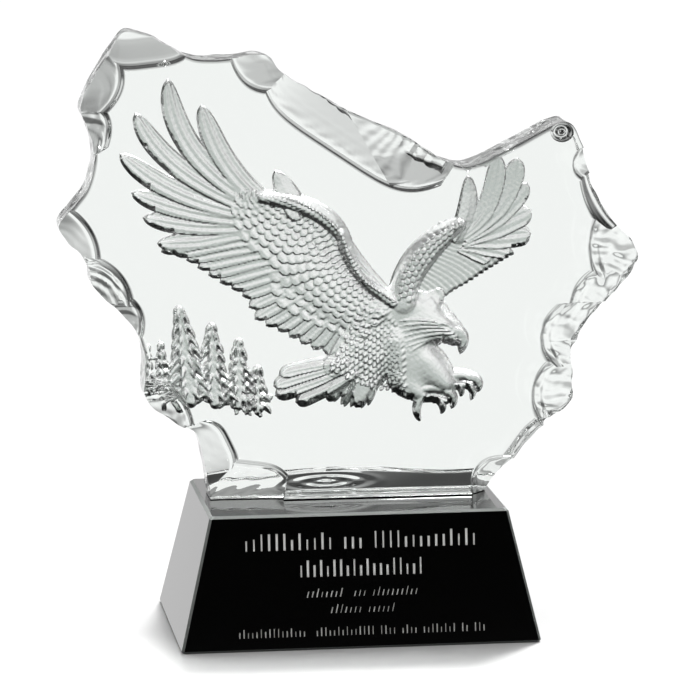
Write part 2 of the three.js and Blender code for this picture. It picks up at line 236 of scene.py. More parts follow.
SHELL = dict(edge=4.5, bias=0.7)
FLAKES = [
    dict(at=[-71.5, 157], facing=96, length=31, sag=4, slope=0.95, rough=0.0, power=4),
    dict(at=[-80.5, 152], facing=172, length=21, sag=4, slope=0.8, rough=0.3, fade=12, pitch=5),
    dict(at=[-86.5, 141.5], facing=212, length=18, sag=5, slope=0.8, rough=0.6, fade=12, pitch=4),
    dict(at=[-91.3, 98], facing=204, length=29, sag=5, slope=0.6, rough=0.05),
    dict(at=[-81, 82.5], facing=214, length=27, sag=5, slope=0.75, rough=0.8, fade=14, skew=0.15, edge=2.4),
    dict(at=[-75, 71], facing=205, length=18, sag=4, slope=0.9, rough=0.7, fade=12, pitch=4, skew=0.5),
    dict(at=[-64, 42.5], facing=233, length=25, sag=5, slope=0.5, rough=0.5, fade=14, pitch=4, skew=0.4),
    dict(at=[-36, 149], facing=60, length=22, sag=5, slope=0.8, rough=0.1),
    dict(at=[-6.5, 125.3], facing=56, length=68, sag=6, slope=0.52, rough=0.4, power=5, fade=5),
    dict(at=[-0.5, 133], facing=54, length=64, sag=3, slope=0.3, rough=1.3, power=3, fade=22, pitch=8,
         skew=0.85, edge=11),
    dict(at=[27, 114.8], facing=119, length=20, sag=3, slope=0.8, rough=0.3),
    dict(at=[80.5, 118.5], facing=15, length=11, sag=3, slope=0.8, rough=0.1),
    dict(at=[87, 103], facing=28, length=20, sag=1.5, slope=2.4, rough=0.0),
    dict(SHELL, at=[86, 88.5], facing=4, length=24, sag=3, slope=0.5, rough=0.7, pitch=7,
         skew=0.5, fold=0.5),
    dict(SHELL, at=[80.5, 74], facing=335, length=22, sag=4, slope=0.45, rough=0.7, pitch=8,
         skew=0.6, fold=0.9),
    dict(SHELL, at=[68.5, 58], facing=356, length=21, sag=5, slope=0.45, rough=0.6, pitch=7,
         skew=0.5, fold=0.9),
    dict(SHELL, at=[65.5, 38], facing=353, length=25, sag=6, slope=0.42, rough=0.6, pitch=8,
         skew=0.6, fold=0.8),
    dict(at=[46.5, 11], facing=318, length=18, sag=5, slope=0.9, rough=0.2),
    dict(at=[-43, 22], facing=205, length=20, sag=3, slope=0.45, rough=0.04, power=4),
    dict(at=[-36, 15], facing=262, length=24, sag=2, slope=0.3, rough=0.08, power=4),
]


def flake(number, at, facing, length, sag, slope, rough, power=2, fade=40, pitch=3.4, skew=0.25, fold=0.0,
          edge=1.3, bias=0.0):
    """One facet: depth is the slope times a soft ramp of the way outwards from the curved line,
    whose ends sag outwards by `sag` times the share along it to the given power, softly held to
    CHIP_DEPTH. A lip `edge` deep with a groove behind it follows the line, deeper at one end by
    `bias`. Sharpened ripples of `rough`, a `pitch` apart and turned by `skew`, run along the facet
    and die over `fade`; `fold` tilts its halves."""
    out = np.array([math.cos(math.radians(facing)), math.sin(math.radians(facing))])
    along = np.array([-out[1], out[0]])
    u = np.linspace(-1.15, 1.15, 52)[:, None]
    v = np.concatenate([np.linspace(-0.6, 5, 22), np.linspace(5.6, 30, 34)])[None, :]
    start = sag * np.abs(u) ** power
    soft = 0.3
    ramp = soft * np.logaddexp(0, v / soft)
    width = 0.1 + 0.08 * edge
    step = edge * (1 - bias * np.clip(u, -1, 1)) / (1 + bias)
    lip = step / (1 + np.exp(-(v - 4 * width) / width)) - 0.46 * step / (1 + np.exp(-(v - 12 * width) / soft))
    bend = 1.6 * waves(u * length / 2, v, 16, number)
    streak = np.sin(2 * math.pi * ((1 - skew) * v + bend + skew * u * length) / pitch)
    streak = np.sign(streak) * np.abs(streak) ** 0.6
    grain = 0.3 * waves(u * length / 2, v, 4.5, number + 50)
    ripple = rough * np.exp(-(v / fade) ** 2) * (0.5 * streak + grain)
    deep = slope * ramp * (1 + fold * np.abs(u + 0.2)) + lip - 0.1
    deepest = CHIP_DEPTH + 0.35 * np.maximum(v - 18, -5)
    deep = np.where(v > 2, soft_min(deep, deepest, 1.0), deep)
    deep = deep + ripple * np.clip((v - 1) / 2.5, 0, 1)
    x = at[0] + along[0] * u * length / 2 + out[0] * (v + start)
    z = at[1] + along[1] * u * length / 2 + out[1] * (v + start)
    surface = np.stack([x, FRONT_Y + deep, FOOT_Z + z], -1)
    return height_solid("flake", surface, FRONT_Y - 3)


def dimple(at, width, height, depth, rings, swell):
    """A round hollow in the front face, ringed like a ripple: depth times the root of one less the
    squared radius, plus `swell` times a cosine of the radius with the given number of rings."""
    turn = np.linspace(0, 2 * math.pi, 72, endpoint=False)[None, :]
    r = np.linspace(1.0, 0.04, 26)[:, None]
    deep = depth * np.sqrt(1 - r ** 2) + swell * (np.cos(2 * math.pi * rings * r) - 1) * (1 - r) * 1.5
    x = at[0] + width / 2 * r * np.cos(turn)
    z = FOOT_Z + at[1] + height / 2 * r * np.sin(turn)
    y = FRONT_Y + deep + 0 * turn
    rings_xyz = np.stack([x, y, z], -1)
    top = rings_xyz[:1].copy()
    top[..., 1] = FRONT_Y - 2
    points = np.concatenate([top, rings_xyz])
    count = points.shape[1]
    faces = grid_faces(len(points), count, wrap=True).tolist()
    faces.append(list(range(count)))
    faces.append([(len(points) - 1) * count + k for k in reversed(range(count))])
    made = new_object("dimple", points.reshape(-1, 3), faces)
    outwards(made)
    return made


def cove():
    """A wavy hollow along the foot of the back face, with an eye-shaped ripple in it. It
    deepens with height up to a lip, and cosine rings round the eye die away outwards."""
    x = np.linspace(-54, 53, 150)[:, None]
    share = np.linspace(0, 1, 40)[None, :]
    top = 7.6 + 1.7 * np.cos((x + 8) / 17) * np.exp(-((x + 8) / 40) ** 2) + 0.5 * np.sin(x / 9)
    z = -1 + (top + 1) * share
    deep = 2.3 * share ** 0.9 * np.minimum(1, (1 - share) / 0.13) + 0 * x
    eye = np.sqrt(((x + 7) / 15) ** 2 + ((z - 3.6) / 2.9) ** 2)
    deep = deep + 0.4 * np.cos(2 * math.pi * 1.5 * eye) * np.exp(-(eye / 1.1) ** 4)
    surface = np.stack([x + 0 * z, BACK_Y - deep + 0.05, FOOT_Z + z], -1)
    return height_solid("cove", surface, BACK_Y + 3)


# The relief, a height field over the back

grid_x = np.arange(-86, 74, RELIEF_STEP)
grid_z = np.arange(20, 168, RELIEF_STEP)
OUTSIDE = -1.0


class Relief:
    """Heights over the grid, in millimetres into the glass; below 0 is outside the relief."""

    def __init__(self):
        self.height = np.full((len(grid_x), len(grid_z)), OUTSIDE)

    def window(self, low, high):
        """The slices of the grid between two corners, and its coordinates there."""
        i0, i1 = np.searchsorted(grid_x, [low[0], high[0]])
        j0, j1 = np.searchsorted(grid_z, [low[1], high[1]])
        return (slice(i0, i1), slice(j0, j1)), grid_x[i0:i1, None], grid_z[None, j0:j1]


def along_curve(x, z, root, bend, tip, pieces=20):
    """For each point, the share along a quadratic curve of the nearest place on it, and its
    signed distance from there, left of the way along being positive."""
    t = np.linspace(0, 1, pieces + 1)[:, None]
    root, bend, tip = (np.asarray(p, float) for p in (root, bend, tip))
    line = (1 - t) ** 2 * root + 2 * t * (1 - t) * bend + t ** 2 * tip
    best = np.full(np.broadcast(x, z).shape, np.inf)
    share = np.zeros(best.shape)
    side = np.zeros(best.shape)
    for k in range(pieces):
        a, step = line[k], line[k + 1] - line[k]
        length = step @ step + 1e-9
        where = np.clip(((x - a[0]) * step[0] + (z - a[1]) * step[1]) / length, 0, 1)
        dx = x - a[0] - where * step[0]
        dz = z - a[1] - where * step[1]
        far = dx * dx + dz * dz
        nearer = far < best
        best = np.where(nearer, far, best)
        share = np.where(nearer, (k + where) / pieces, share)
        side = np.where(nearer, np.sign(step[0] * dz - step[1] * dx), side)
    return share, np.sqrt(best) * side


def soft_min(a, b, blend):
    """The smaller of two heights, rounded where they meet over about `blend`."""
    return 0.5 * (a + b - np.sqrt((a - b) ** 2 + blend * blend)) + 0.25 * blend


def soft_max(a, b, blend):
    """The larger of two heights, rounded where they meet over about `blend`."""
    return 0.5 * (a + b + np.sqrt((a - b) ** 2 + blend * blend)) - 0.25 * blend


def feather(relief, root, bend, tip, half, low, high, lean=0.2, wall=2.2, point=0.5, shaft=0.15, floor=None,
            narrow=0.6, vane=0.0):
    """A feather: its height runs from `low` at the root to `high` near the tip, leans to one side,
    crowns a little and carries a thin shaft and lines of depth `vane`; its edge is a wall of slope
    `wall`. Half its width is `narrow` of the full at the root, full from 0.4 of the way and rounds
    off past `point`. It lies on the heights `floor`, or on the flat back."""
    corners = np.array([root, bend, tip])
    where, x, z = relief.window(corners.min(0) - half * 1.4, corners.max(0) + half * 1.4)
    t, s = along_curve(x, z, root, bend, tip)
    width = half * (narrow + (1 - narrow) * np.clip(t / 0.4, 0, 1))
    ending = np.clip((t - point) / (1 - point), 0, 1)
    width = width * np.sqrt(np.clip(1 - ending ** 2.6, 0.01, 1))
    across = s / np.maximum(width, 0.05)
    crown = 1 - 0.12 * across ** 2 + lean * across
    body = (low + (high - low) * np.clip(t * 1.3, 0, 1)) * crown
    if shaft:
        body = body + shaft * np.exp(-((s / 0.42) ** 2)) * np.clip(1.3 - t, 0, 1)
    if vane:
        body = body + vane * np.cos(2 * math.pi * 1.6 * across + 2.5 * t)
    rim = wall * (width - np.abs(s))
    height = soft_min(body, rim, 0.25)
    if floor is not None:
        height = np.where(rim > 0, height + floor[where], OUTSIDE)
    patch = relief.height[where]
    np.maximum(patch, np.maximum(height, OUTSIDE), out=patch)


def limb(relief, root, bend, tip, half, high, ends=(0.7, 0.6), blend=2.0, taper=1.0):
    """A rounded limb: an elliptic section of the given half width, `high` at its ridge
    and `taper` of that at the tip, whose width falls to the two shares `ends` at root and tip.
    Limbs melt into each other."""
    corners = np.array([root, bend, tip])
    where, x, z = relief.window(corners.min(0) - half * 1.5, corners.max(0) + half * 1.5)
    t, s = along_curve(x, z, root, bend, tip)
    bulge = 1 - (2 * t - 1) ** 2
    width = half * (bulge + (1 - bulge) * np.where(t < 0.5, ends[0], ends[1]))
    across = np.abs(s) / width
    dome = np.sqrt(np.clip(1 - across ** 2, 0, 1))
    ridge = high * (1 + (taper - 1) * t)
    height = np.where(across < 1, ridge * dome, OUTSIDE * np.clip((across - 1) * 4, 0, 1))
    patch = relief.height[where]
    inside = (patch > OUTSIDE * 0.5) & (height > OUTSIDE * 0.5)
    melted = np.where(inside, soft_max(patch, height, blend), np.maximum(patch, height))
    patch[:] = np.maximum(melted, OUTSIDE)


def melt(form, passes):
    """Rounds the creases inside a form: repeated means over neighbouring cells of the form, held
    down near its rim to 0.4 mm plus 1.5 times the height it had."""
    height = form
    inside = (form > 0).astype(float)
    for _ in range(passes):
        for axis in (0, 1):
            total = 2 * height * inside + sum(np.roll(height * inside, k, axis) for k in (-1, 1))
            weight = 2 * inside + sum(np.roll(inside, k, axis) for k in (-1, 1))
            height = np.where(inside > 0, total / np.maximum(weight, 1), height)
    return np.minimum(height, np.maximum(form, 0.4 + 1.5 * form))


def between(line, share):
    """The point at a share of the length of a polyline."""
    line = np.asarray(line, float)
    run = np.concatenate([[0], np.cumsum(np.linalg.norm(np.diff(line, axis=0), axis=1))])
    at = share * run[-1]
    return np.array([np.interp(at, run, line[:, 0]), np.interp(at, run, line[:, 1])])


def lay(relief, form, least=0.3):
    """Lays a form into the relief wherever it is higher than `least`."""
    relief.height = np.maximum(relief.height, np.where(form.height > least, form.height, OUTSIDE))


def fan(relief, roots, tips, count, half, low, high, bulge=0.05, **settings):
    """Feathers side by side, from a line of roots to a line of tips."""
    roots, tips = smooth_line(roots, 0.5), smooth_line(tips, 0.5)
    for k in range(count):
        root, tip = between(roots, k / (count - 1)), between(tips, k / (count - 1))
        way = tip - root
        bend = (root + tip) / 2 + bulge * np.array([-way[1], way[0]])
        feather(relief, root, bend, tip, half, low, high, **settings)


# Drawn points of the eagle: root, bend and tip of each feather or limb, half width, height

LEFT_PRIMARIES = [
    [[-35.5, 96.5], [-51, 92.5], [-68, 92.5], 3.6],
    [[-36, 99], [-54.5, 97.5], [-73, 102], 3.9],
    [[-35.5, 101], [-58.5, 103], [-77, 111], 3.9],
    [[-35, 103], [-65, 109], [-81, 125], 4.0],
    [[-33.5, 105], [-67, 118.5], [-75.5, 139.5], 4.0],
    [[-31.5, 106.5], [-63, 124], [-63.8, 151.5], 4.3],
    [[-30, 108], [-46, 119.5], [-52, 142], 4.2],
]
RIGHT_PRIMARIES = [
    [[42, 88], [49, 87], [53, 84], 2.5],
    [[43.5, 89], [54, 89], [60.5, 87], 2.9],
    [[44.5, 90.5], [59, 92], [68, 93.5], 3.4],
    [[45, 91], [59, 97], [68, 102], 3.4],
    [[45, 92], [59, 100.5], [66.5, 112], 3.2],
    [[44.5, 92.5], [61.5, 104.5], [63, 121], 3.2],
    [[43.5, 93.5], [55, 102], [56, 122], 3.0],
]
TAIL_FEATHERS = [
    [[3, 43.5], [-9, 36.5], [-18, 33.2], 3.0],
    [[0, 45.5], [-13.5, 39.5], [-25.5, 36], 3.2],
    [[0, 47], [-14.5, 43.5], [-26, 39.5], 3.2],
    [[0, 48], [-13, 47], [-24, 43.5], 3.0],
]
SECONDARY_ROOTS = [[-36, 96], [-27.5, 87.5], [-20.5, 79.5], [-13, 71.5], [-5.5, 67], [0, 62]]
SECONDARY_TIPS = [[-66.5, 89.5], [-59.5, 87.5], [-48, 79.5], [-37, 72.5], [-32.5, 64], [-24, 59.5],
                  [-12.5, 53], [-7, 51]]
LEADING_EDGE = [[19, 71], [7, 80], [3, 87], [0, 96], [-7, 103], [-15.5, 108], [-24, 110], [-31, 110]]
COVERT_EDGE = [[1, 54], [-4, 59], [-11, 62], [-17, 65], [-24.5, 69], [-27, 74], [-27.5, 84],
               [-31.5, 88], [-36.5, 91.5], [-39.5, 97], [-41.5, 103], [-39.5, 111]]


# A hooked horn, for beak and claws: as wide at the root as further on, and tapered from there
HOOK = dict(lean=0, wall=4, point=0.1, shaft=0, narrow=1)


def left_wing(relief):
    """Primaries and secondaries, then rows of scalloped coverts that grow from the leading edge."""
    for root, bend, tip, half in LEFT_PRIMARIES:
        feather(relief, root, bend, tip, half, 2.0, 1.9, lean=0.36, wall=4, narrow=0.85, point=0.6,
                vane=0.14)
    fan(relief, SECONDARY_ROOTS, SECONDARY_TIPS, 16, 3.5, 2.2, 1.8, bulge=-0.06, lean=0.34, wall=4,
        point=0.5, shaft=0.1, narrow=0.85, vane=0.09)
    web = Relief()
    limb(web, [13, 62], [-9, 78], [-34, 97.5], 11, 2.8, ends=(0.8, 0.75), taper=0.4)
    limb(web, [18, 69.5], [3, 81], [-1.5, 95], 3.6, 5.0)
    limb(web, [0, 92.5], [-7, 106.5], [-30, 108.5], 3.6, 4.2, taper=0.7)
    floor = np.maximum(web.height, 0.9)
    edge, covert = smooth_line(LEADING_EDGE, 0.4), smooth_line(COVERT_EDGE, 0.4)
    rows = 10
    for row in range(rows):
        low = 1 - (row / rows) ** 0.9
        size = 0.9 + 2.2 * low
        count = int(50 / size)
        for k in range(count):
            share = (k + 0.5 * (row % 2)) / (count - 0.5)
            if share > 1:
                continue
            a, b = between(edge, share), between(covert, share)
            tip = a + (b - a) * low
            root = a + (b - a) * max(low - 0.24, 0)
            feather(relief, root, (root + tip) / 2, tip, size, 0.1, 1.75, lean=0.18, wall=3.2, point=0.72,
                    shaft=0, floor=floor, narrow=0.95)
    lay(relief, web)
    feather(relief, [-18, 104], [-20.5, 109], [-25.4, 118], 4.6, 3.4, 1.6, lean=0.3, wall=4,
            point=0.05, narrow=1)


def right_wing(relief):
    """The far wing: a fan of primaries and short secondaries behind a thick scaly arm."""
    roots = [[42, 93.5], [36.5, 90], [31, 84], [26, 75]]
    tips = [[62, 86], [53.5, 81], [45.5, 76], [38.5, 72], [33, 67]]
    fan(relief, roots, tips, 17, 1.8, 1.9, 1.5, bulge=0.06, lean=0.22, wall=4, point=0.7, shaft=0,
        narrow=0.8)
    for root, bend, tip, half in RIGHT_PRIMARIES:
        feather(relief, root, bend, tip, half * 1.25, 2.0, 1.9, lean=-0.36, wall=4, narrow=0.5, point=0.75,
                vane=0.12)
    web = Relief()
    limb(web, [21, 70], [21.5, 85], [41.5, 97.5], 5.6, 5.4, ends=(0.95, 0.5))
    floor = np.maximum(web.height, 0)
    lay(relief, web)
    for row in range(4):
        for k in range(15 - row):
            share = (k + 0.5 * (row % 2)) / 15
            a = between([[17, 72], [19, 82], [25, 91], [34, 98], [42, 100]], share)
            b = between([[26.5, 70], [29, 79], [34, 87], [41, 93], [46, 96]], share)
            root, tip = a + (b - a) * (0.1 + 0.2 * row), a + (b - a) * (0.32 + 0.2 * row)
            feather(relief, root, (root + tip) / 2, tip, 1.25, 0.1, 1.0, lean=0.1, wall=3, point=0.7,
                    shaft=0, floor=floor, narrow=0.9)
    feather(relief, [41.5, 93.5], [46.5, 103], [45, 115], 3.8, 3.0, 1.6, lean=0.3, wall=4, point=0.2,
            narrow=1)


def trunk(relief):
    """Trunk, neck, head and thighs as limbs that melt together and into the tail's feathers, with
    rows of small feathers on the breast and longer ones on the thighs."""
    for root, bend, tip, half in TAIL_FEATHERS:
        feather(relief, root, bend, tip, half, 4.2, 3.2, lean=0.25, point=0.8, narrow=0.8, wall=2.6,
                vane=0.1)
    form = Relief()
    limb(form, [-4, 47], [11, 55], [28, 62], 11, 4.6, ends=(0.4, 0.9))
    limb(form, [12, 66], [25, 69], [36, 62], 7.5, 5.0)
    limb(form, [24, 60.5], [33, 64], [39.5, 58.8], 5.2, 5.6, ends=(0.9, 0.75))
    limb(form, [27, 56.5], [34, 59], [40.3, 55.2], 3.4, 5.2, ends=(0.9, 0.8))
    limb(form, [19, 54], [29.5, 47], [37, 39], 8.0, 5.4, ends=(0.9, 0.6))
    limb(form, [20, 48], [20.5, 41], [28, 35], 6.5, 4.8, ends=(0.9, 0.5))
    limb(form, [12, 50], [8, 41], [5, 32.5], 5.2, 4.0, ends=(0.9, 0.4))
    limb(form, [3, 46], [-1.5, 40], [-5.5, 34.5], 3.8, 3.4, ends=(0.9, 0.4))
    limb(form, [27, 62], [31, 68], [34, 72], 4.6, 3.4, ends=(0.9, 0.5), taper=0.5)
    form.height = melt(form.height, 22)
    least = 0.25
    both = (form.height > least) & (relief.height > 0.3)
    melted = soft_max(form.height, relief.height, 3.5)
    lay(relief, form, least)
    relief.height = np.where(both, np.maximum(melted, relief.height), relief.height)
    floor = np.maximum(relief.height, 0).copy()
    draw = np.random.default_rng(5)
    for row in range(14):
        for k in range(15):
            across, down = (k + 0.5 * (row % 2)) / 14.5, row / 13
            start = between([[7, 68], [14, 67], [19, 62], [21.5, 54]], across)
            end = between([[-5, 47], [4, 42], [13, 38.5], [22.5, 37]], across)
            root = start + (end - start) * down + draw.uniform(-0.2, 0.2, 2)
            way = np.array([-1.6, -1.5]) * draw.uniform(0.9, 1.1)
            feather(relief, root, root + way / 2, root + way, 0.78, 0.0, 0.4 + 0.4 * down, lean=0.05,
                    wall=3, point=0.35, shaft=0, floor=floor, narrow=1)
    for k in range(9):
        root = between([[13, 47], [8, 46], [3, 46], [-1, 46]], k / 8)
        tip = between([[9, 31], [4, 30.5], [-3, 32], [-8, 35]], k / 8) + draw.uniform(-0.8, 0.8, 2)
        feather(relief, root, (root + tip) / 2 + [0.6, 0], tip, 1.5, 4.8, 3.4, lean=0.2, point=0.4, shaft=0)


def head(relief):
    """The hooked beak, the brow, the line of the mouth and the strands of the neck."""
    feather(relief, [37, 58.6], [45.6, 58.8], [42.4, 49.8], 2.9, 5.6, 4.0, **HOOK)
    floor = np.maximum(relief.height, 0).copy()
    strands = [[[34, 61.6], [37, 61.6], [39.4, 59.6], 0.5, 0.4], [[42, 55], [33, 58.4], [23, 51], 0.6, 0.4]]
    for k in range(6):
        root = np.array([40.5 - 1.4 * k, 56.6 + 1.1 * k])
        tip = np.array([21.5 - 0.6 * k, 53 + 1.9 * k])
        strands.append([root, (root + tip) / 2 + [0, 1.8], tip, 0.55, 0.3])
    for root, bend, tip, half, high in strands:
        feather(relief, root, bend, tip, half, high, high * 0.6, lean=0.2, wall=2.5, point=0.2, shaft=0,
                floor=floor, narrow=0.8)


def talons(relief):
    """Two feet held forward, of two pads and three hooked claws each."""
    pads = [
        [[34, 40.5], [40, 42.8], [46, 41.6], 2.5, 3.6],
        [[38, 37.5], [42.4, 39], [46.4, 38.2], 1.9, 3.8],
        [[27.5, 37], [33, 38.6], [38.5, 36.4], 2.8, 4.2],
        [[29.5, 33.6], [34, 34], [37.4, 32.6], 2.1, 4.2],
    ]
    claws = [
        [[45, 41.4], [50.8, 40.6], [49, 35.4], 2.0, 3.8],
        [[45, 38], [48.4, 36.8], [46.4, 32.4], 1.6, 4.4],
        [[40.5, 38.6], [44, 37], [42.6, 33.8], 1.5, 4.6],
        [[37, 36.2], [41.6, 34.4], [39.2, 29.4], 1.9, 4.4],
        [[34, 33], [37.2, 31], [35.4, 27.6], 1.6, 5.0],
        [[28.6, 35], [24.6, 30], [27.8, 25], 1.8, 4.2],
    ]
    feet = Relief()
    for root, bend, tip, half, high in pads:
        limb(feet, root, bend, tip, half, high, ends=(0.85, 0.75), blend=0.6)
    lay(relief, feet)
    for root, bend, tip, half, high in claws:
        feather(relief, root, bend, tip, half, high, high * 0.7, **HOOK)


PINES = [
    dict(foot=[-72, 40], top=[-72, 56], half=2.4, tiers=5),
    dict(foot=[-66, 40], top=[-67.5, 57], half=3.0, tiers=5),
    dict(foot=[-32, 30], top=[-32, 47], half=4.4, tiers=5),
    dict(foot=[-39, 32.5], top=[-39, 57], half=6.0, tiers=7),
    dict(foot=[-47.5, 33.5], top=[-49, 63], half=6.8, tiers=8),
    dict(foot=[-56.5, 34.5], top=[-60.5, 69.5], half=8.2, tiers=9),
]


def pine(relief, number, foot, top, half, tiers):
    """Drooping boughs on both sides of the trunk, shorter towards the tip, of uneven length."""
    draw = np.random.default_rng(20 + number)
    foot, top = np.array(foot, float), np.array(top, float)
    feather(relief, foot, (foot + top) / 2, top, half * 0.3, 2.0, 1.2, lean=0, point=0.1, shaft=0, narrow=1)
    for k in range(tiers):
        share = k / tiers
        for side in (-1, -0.35, 0.4, 1):
            reach = half * (1.15 - 0.95 * share) * draw.uniform(0.75, 1.15)
            root = foot + (top - foot) * min(1, share + 0.16 + draw.uniform(0, 0.06))
            tip = foot + (top - foot) * share + [side * reach, draw.uniform(-1.2, 0.6)]
            bend = (root + tip) / 2 + [side * 0.2 * reach, 1.2]
            deep = PINE_DEPTH * (1.0 - 0.35 * share) * draw.uniform(0.65, 1.0)
            feather(relief, root, bend, tip, 0.7 + 0.13 * half * (1 - share), 0.9, deep,
                    lean=0.35 * side, wall=3, point=0.15, shaft=0, narrow=0.5)


def rocks(relief):
    """Broken ground under the pines: low overlapping chips, each leaning its own way."""
    draw = np.random.default_rng(11)
    for _ in range(90):
        place = between([[-71, 47], [-64, 43], [-55, 39], [-44, 38], [-31, 32.5]], draw.uniform(0, 1))
        place = place + draw.uniform(-3.5, 3.5, 2) * [1, 1.5]
        turn = draw.uniform(-1.2, 0.6)
        way = np.array([math.cos(turn), math.sin(turn)]) * draw.uniform(1.0, 3.6)
        bend = place + draw.uniform(-0.5, 0.5, 2)
        half, low, high = draw.uniform(0.6, 1.7), draw.uniform(0.5, 1.3), draw.uniform(0.5, 1.5)
        feather(relief, place - way / 2, bend, place + way / 2, half, low, high, lean=draw.uniform(-0.7, 0.7),
                wall=2, point=0.2, shaft=0, narrow=0.6)


def lower_edges(height):
    """Slopes the lower rim of every form: no higher than 0.15 mm plus a ragged 0.75 to 1.35 times
    the distance up from the rim, over the first 3 mm."""
    slope = 1.05 + 0.3 * waves(grid_x[:, None], grid_z[None, :], 4, 31)
    run = np.zeros(len(grid_x))
    limited = height.copy()
    for j in range(len(grid_z)):
        run = np.where(height[:, j] > 0, run + RELIEF_STEP, 0)
        near = (run > 0) & (run < 3)
        limited[:, j] = np.where(near, np.minimum(height[:, j], 0.15 + slope[:, j] * run), height[:, j])
    return limited


def relief_solid():
    """The whole relief as one cutter behind the back face."""
    relief = Relief()
    left_wing(relief)
    right_wing(relief)
    trunk(relief)
    head(relief)
    talons(relief)
    rocks(relief)
    for number, settings in enumerate(PINES):
        pine(relief, number, **settings)
    height = lower_edges(relief.height)
    fine = 0.05 * waves(grid_x[:, None], grid_z[None, :], 1.6, 8, 12)
    height = np.where(height > 0.3, height + fine, height)
    x, z = np.meshgrid(grid_x, grid_z, indexing="ij")
    surface = np.stack([x, BACK_Y - height, FOOT_Z + z], -1)
    return height_solid("relief", surface, BACK_Y + 3)


# Materials

# The relief's lower walls, painted shade in a darker copy of the frost, are those whose normal,
# z plus this share of x, comes to LOWER_WALL or more
FALL_ASIDE = 0.35
LOWER_WALL = 0.55


def linear(code):
    """An sRGB hex colour as linear RGB with alpha 1."""
    parts = [int(code[k:k + 2], 16) / 255 for k in (1, 3, 5)]
    return [c / 12.92 if c <= 0.04045 else ((c + 0.055) / 1.055) ** 2.4 for c in parts] + [1]


def material(name):
    """A new node material, its tree and its shader."""
    made = bpy.data.materials.new(name)
    made.use_nodes = True
    return made, made.node_tree, made.node_tree.nodes["Principled BSDF"]


def node(tree, kind, settings=None, **links):
    """Adds a node with its settings and input values, and links the inputs given by name."""
    made = tree.nodes.new(kind)
    for key, value in (settings or {}).items():
        if key in made.inputs:
            made.inputs[key].default_value = value
        else:
            setattr(made, key, value)
    for key, source in links.items():
        tree.links.new(source, made.inputs[key.replace("_", " ")])
    return made


def maths(tree, operation, first, second=None):
    """A maths node's value; inputs are sockets or numbers."""
    made = tree.nodes.new("ShaderNodeMath")
    made.operation = operation
    for k, value in enumerate((first, second)):
        if value is None:
            continue
        if isinstance(value, (int, float)):
            made.inputs[k].default_value = value
        else:
            tree.links.new(value, made.inputs[k])
    return made.outputs["Value"]


def shader_values(shader, **values):
    """Sets the shader's sockets, named with underscores for spaces."""
    for key, value in values.items():
        shader.inputs[key.replace("_", " ")].default_value = value


def clear_crystal():
    """Polished optical crystal, moulded and fire-polished: clear, with a faint green-grey."""
    made, tree, shader = material("polished_crystal")
    shader_values(shader, Base_Color=linear("#F1F4F2"), Roughness=0.0, IOR=1.52, Transmission_Weight=1.0)
    place = node(tree, "ShaderNodeTexCoord")
    broad = {"Scale": 55.0, "Detail": 1.0}
    ripple = node(tree, "ShaderNodeTexNoise", broad, Vector=place.outputs["Object"])
    bump = node(tree, "ShaderNodeBump", {"Strength": 0.03, "Distance": 0.0006}, Height=ripple.outputs["Fac"])
    tree.links.new(bump.outputs["Normal"], shader.inputs["Normal"])
    return made


def frost_with_painted_shade(name, transmission):
    """Frosted crystal, the satin skin that the mould leaves: glass that scatters what passes. Its
    colour is painted highlight and painted shade over the frost's own grey: it follows 0.5 plus
    (0.5 less backfacing) times (z plus 0.35 x) of the normal, so that through the glass the walls at
    the lower rims are painted black as shade, and from outside they are pale."""
    made, tree, shader = material(name)
    shader_values(shader, Roughness=0.2, IOR=1.52, Transmission_Weight=transmission)
    place = node(tree, "ShaderNodeTexCoord")
    split = node(tree, "ShaderNodeSeparateXYZ", Vector=place.outputs["Normal"])
    fall = maths(tree, "ADD", maths(tree, "MULTIPLY", split.outputs["X"], FALL_ASIDE), split.outputs["Z"])
    inside = node(tree, "ShaderNodeNewGeometry")
    side = maths(tree, "SUBTRACT", 0.5, inside.outputs["Backfacing"])
    turned = maths(tree, "MULTIPLY", side, fall)
    ramp = node(tree, "ShaderNodeValToRGB")
    tree.links.new(maths(tree, "ADD", turned, 0.5), ramp.inputs["Fac"])
    # Painted highlight and painted shade: white on the upper walls, the frost's own greys on the flats and
    # gentle slopes, black on the lower rims
    stops = ramp.color_ramp.elements
    stops[0].position, stops[0].color = 0.3, linear("#FFFFFF")
    stops[1].position, stops[1].color = 0.8, linear("#020303")
    for position, code in ((0.5, "#A3ABA6"), (0.68, "#878F8A")):
        stops.new(position).color = linear(code)
    tree.links.new(ramp.outputs["Color"], shader.inputs["Base Color"])
    fine = {"Scale": 1400.0, "Detail": 2.0}
    grain = node(tree, "ShaderNodeTexNoise", fine, Vector=place.outputs["Object"])
    bump = node(tree, "ShaderNodeBump", {"Strength": 0.12, "Distance": 0.0001}, Height=grain.outputs["Fac"])
    tree.links.new(bump.outputs["Normal"], shader.inputs["Normal"])
    return made


def glued_foot():
    """The foot's ground face, glued to the black base: seen through the crystal it is black."""
    made, _, shader = material("glued_foot")
    shader_values(shader, Base_Color=linear("#0C0E0D"), Roughness=0.12, IOR=1.5)
    return made


def black_glass():
    """Polished black glass, cast and buffed: no colour of its own, only its reflections, a little
    uneven where it was wiped."""
    made, tree, shader = material("polished_black_glass")
    shader_values(shader, Base_Color=linear("#030303"), IOR=1.52)
    place = node(tree, "ShaderNodeTexCoord")
    smear = node(tree, "ShaderNodeTexNoise", {"Scale": 30.0, "Detail": 3.0}, Vector=place.outputs["Object"])
    polish = node(tree, "ShaderNodeMapRange", {"To Min": 0.025, "To Max": 0.06}, Value=smear.outputs["Fac"])
    tree.links.new(polish.outputs["Result"], shader.inputs["Roughness"])
    return made


def painted_highlight_edge():
    """The base's chamfers in a pale satin grey: a painted highlight, a pale line round the black glass."""
    made, _, shader = material("painted_highlight_chamfers")
    shader_values(shader, Base_Color=linear("#626563"), Roughness=0.4, IOR=1.52)
    return made


